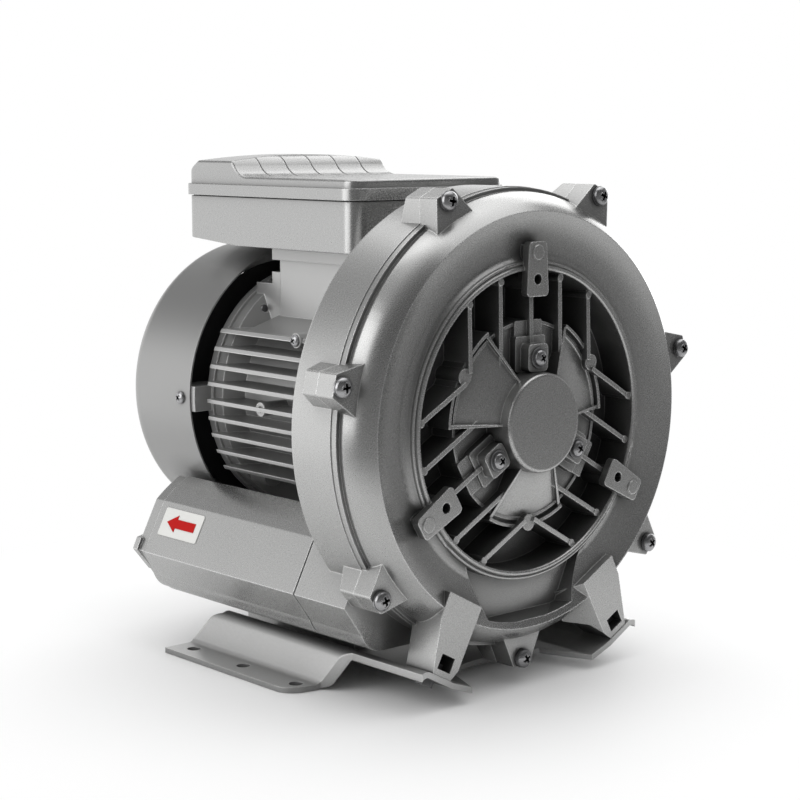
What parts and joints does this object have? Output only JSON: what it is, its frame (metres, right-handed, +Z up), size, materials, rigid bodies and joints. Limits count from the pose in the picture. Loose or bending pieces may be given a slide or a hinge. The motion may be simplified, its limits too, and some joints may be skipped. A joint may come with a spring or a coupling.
{
  "type": "side channel blower",
  "caption": "Compact side channel blower with ribbed front cover, finned motor, terminal box, twin silencers and bent sheet foot.",
  "frame": {"origin": "centre of the foot's bolt pattern, on the floor plane", "axes": "+Y along the shaft from the front cover to the fan cowl, +Z up, +X to the right seen from the cover"},
  "size_m": [0.3088, 0.3045, 0.3295],
  "materials": {
    "cover_cast": "satin, sprayed silver grey",
    "housing_cast": "satin, sprayed silver grey",
    "motor_cast": "satin, sprayed silver grey",
    "silencer_cast": "satin, sprayed silver grey",
    "impeller_cast": "satin, machined",
    "retainer_cast": "satin",
    "box_plastic": "satin, silver grey",
    "cowl_steel": "satin, silver grey",
    "foot_steel": "satin, silver grey",
    "screw_steel": "bright zinc",
    "shaft_steel": "ground",
    "bearing_steel": "polished",
    "core_steel": "matte, laminated",
    "copper_winding": "varnished",
    "fan_plastic": "matte",
    "seal_rubber": "matte",
    "gland_plastic": "matte",
    "foam": "open-cell, matte",
    "terminal_plastic": "matte",
    "terminal_brass": "bright",
    "label_white": "satin film",
    "label_red": "satin film"
  },
  "bodies": {
    "blower": {"front_cover": "cover_cast", "rear_housing": "housing_cast", "cover_screws": "screw_steel", "cover_washers": "screw_steel", "hub_screws": "screw_steel", "hub_washers": "screw_steel", "bearing_retainer": "retainer_cast", "shaft_seal": "seal_rubber", "front_bearing_outer_ring": "bearing_steel", "rear_bearing_outer_ring": "bearing_steel", "stator_core": "core_steel", "stator_windings": "copper_winding", "motor_housing": "motor_cast", "motor_bolts": "screw_steel", "earth_screw": "screw_steel", "rear_end_shield": "motor_cast", "end_shield_bolts": "screw_steel", "wave_spring": "shaft_steel", "fan_cowl": "cowl_steel", "cowl_screws": "screw_steel", "terminal_box": "box_plastic", "box_gasket": "seal_rubber", "box_screws": "screw_steel", "terminal_lid": "box_plastic", "lid_gasket": "seal_rubber", "lid_screws": "screw_steel", "terminal_block": "terminal_plastic", "terminal_studs": "terminal_brass", "cable_gland": "gland_plastic", "blanking_plug": "gland_plastic", "gland_nuts": "gland_plastic", "outlet_silencer": "silencer_cast", "inlet_silencer": "silencer_cast", "outlet_end_cap": "silencer_cast", "inlet_end_cap": "silencer_cast", "outlet_lining": "foam", "inlet_lining": "foam", "silencer_tie_screws": "screw_steel", "flow_label": "label_white", "flow_arrow": "label_red", "foot_plate": "foot_steel", "foot_bolts": "screw_steel", "foot_nuts": "screw_steel"},
    "rotor": {"shaft": "shaft_steel", "shaft_spacer": "shaft_steel", "impeller": "impeller_cast", "impeller_key": "shaft_steel", "front_bearing_inner_ring": "bearing_steel", "rear_bearing_inner_ring": "bearing_steel", "rotor_core": "core_steel", "rotor_end_rings": "impeller_cast", "cooling_fan": "fan_plastic", "fan_circlip": "shaft_steel"},
    "front_balls": {"front_bearing_balls": "bearing_steel", "front_bearing_cage": "shaft_steel"},
    "rear_balls": {"rear_bearing_balls": "bearing_steel", "rear_bearing_cage": "shaft_steel"}
  },
  "joints": [
    {"name": "rotor_spin", "type": "hinge", "parent": "blower", "child": "rotor", "pos_m": [0, 0, 0.168], "axis": [0, 1, 0], "continuous": true},
    {"name": "front_balls_spin", "type": "hinge", "parent": "blower", "child": "front_balls", "pos_m": [0, 0, 0.168], "axis": [0, 1, 0], "continuous": true},
    {"name": "rear_balls_spin", "type": "hinge", "parent": "blower", "child": "rear_balls", "pos_m": [0, 0, 0.168], "axis": [0, 1, 0], "continuous": true}
  ],
  "couplings": [
    {"joint": "front_balls_spin", "follows": "rotor_spin", "ratio": 0.3821},
    {"joint": "rear_balls_spin", "follows": "rotor_spin", "ratio": 0.3825}
  ]
}
